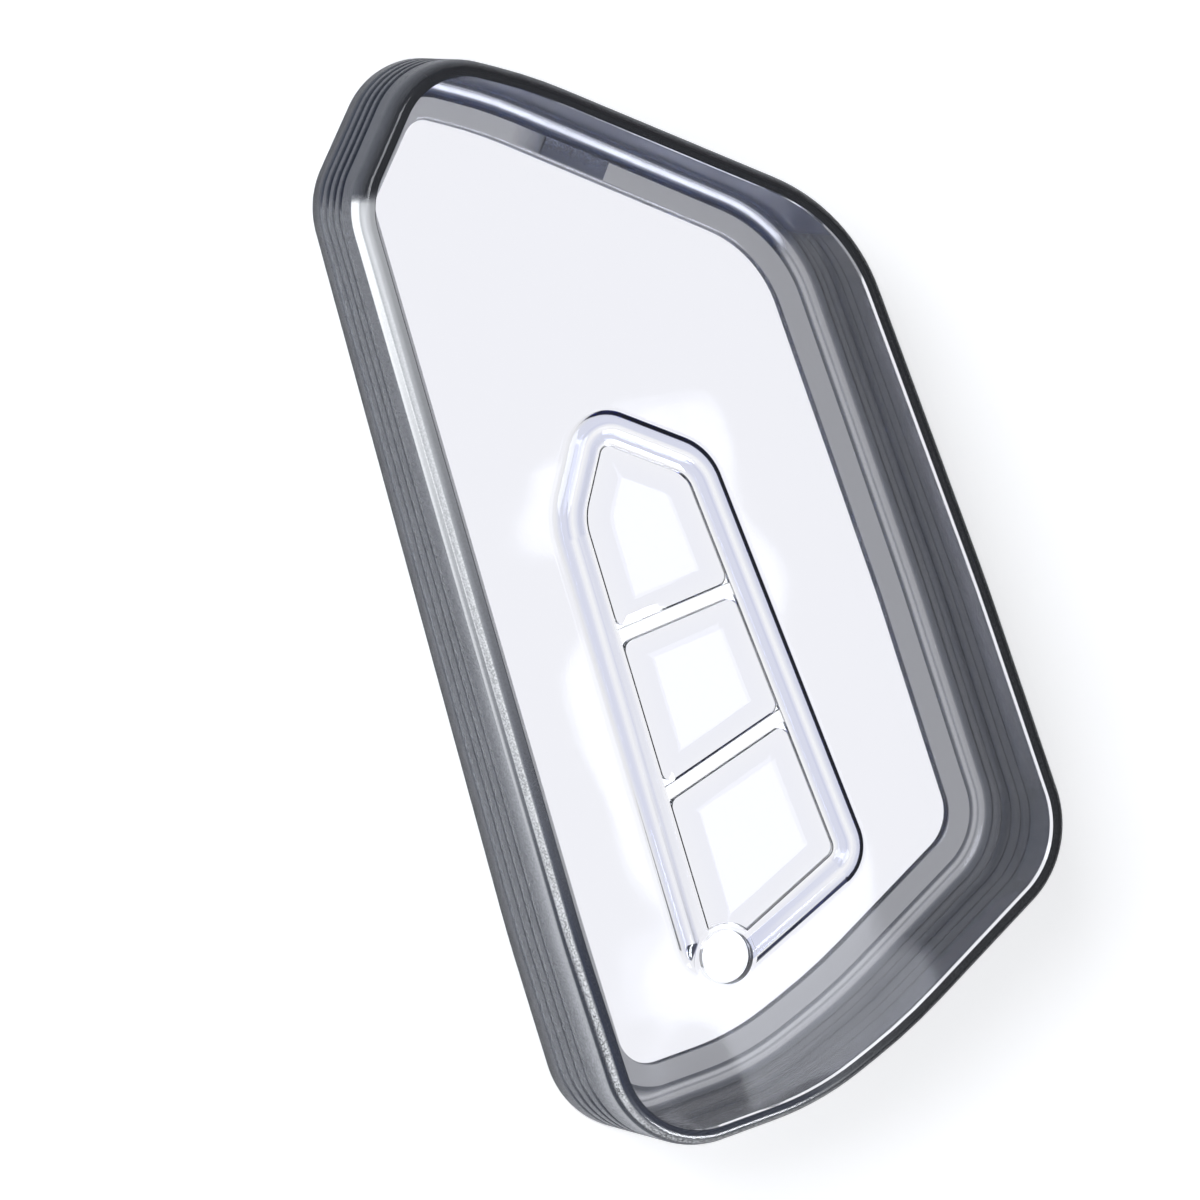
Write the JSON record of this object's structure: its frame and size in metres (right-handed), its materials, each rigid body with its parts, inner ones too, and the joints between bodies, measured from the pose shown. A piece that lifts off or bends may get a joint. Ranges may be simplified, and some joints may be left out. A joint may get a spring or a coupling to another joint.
{
  "type": "key fob cover",
  "caption": "Soft protective cover for a car key fob: smoke-grey side frame with a flanged open back, clear front panel, and press pads inside a raised loop beside a small round hole.",
  "frame": {"origin": "Middle of the cover's outline, on the surface that it lies on with its open back down and its buttons up.", "axes": "+Z out of the front face, +Y along the long axis towards the narrow top end, +X towards the right side as seen from the front."},
  "size_m": [0.0428, 0.0863, 0.0154],
  "materials": {
    "smoke": "glossy flexible smoke-grey plastic with light frosting",
    "clear": "glossy flexible clear plastic"
  },
  "bodies": {
    "cover": {"side_frame": "smoke", "front_panel": "clear", "press_surround": "clear"},
    "upper_pad": {"upper_press_pad": "clear"},
    "middle_pad": {"middle_press_pad": "clear"},
    "lower_pad": {"lower_press_pad": "clear"}
  },
  "joints": [
    {"name": "upper_pad_press", "type": "slide", "parent": "cover", "child": "upper_pad", "axis": [0, -0.0532, -0.9986], "range_m": [0, 0.0006], "stiffness_N_per_m": 60, "springref_m": -0.0005},
    {"name": "middle_pad_press", "type": "slide", "parent": "cover", "child": "middle_pad", "axis": [0, -0.0532, -0.9986], "range_m": [0, 0.0006], "stiffness_N_per_m": 60, "springref_m": -0.0005},
    {"name": "lower_pad_press", "type": "slide", "parent": "cover", "child": "lower_pad", "axis": [0, -0.0532, -0.9986], "range_m": [0, 0.0006], "stiffness_N_per_m": 60, "springref_m": -0.0005}
  ]
}
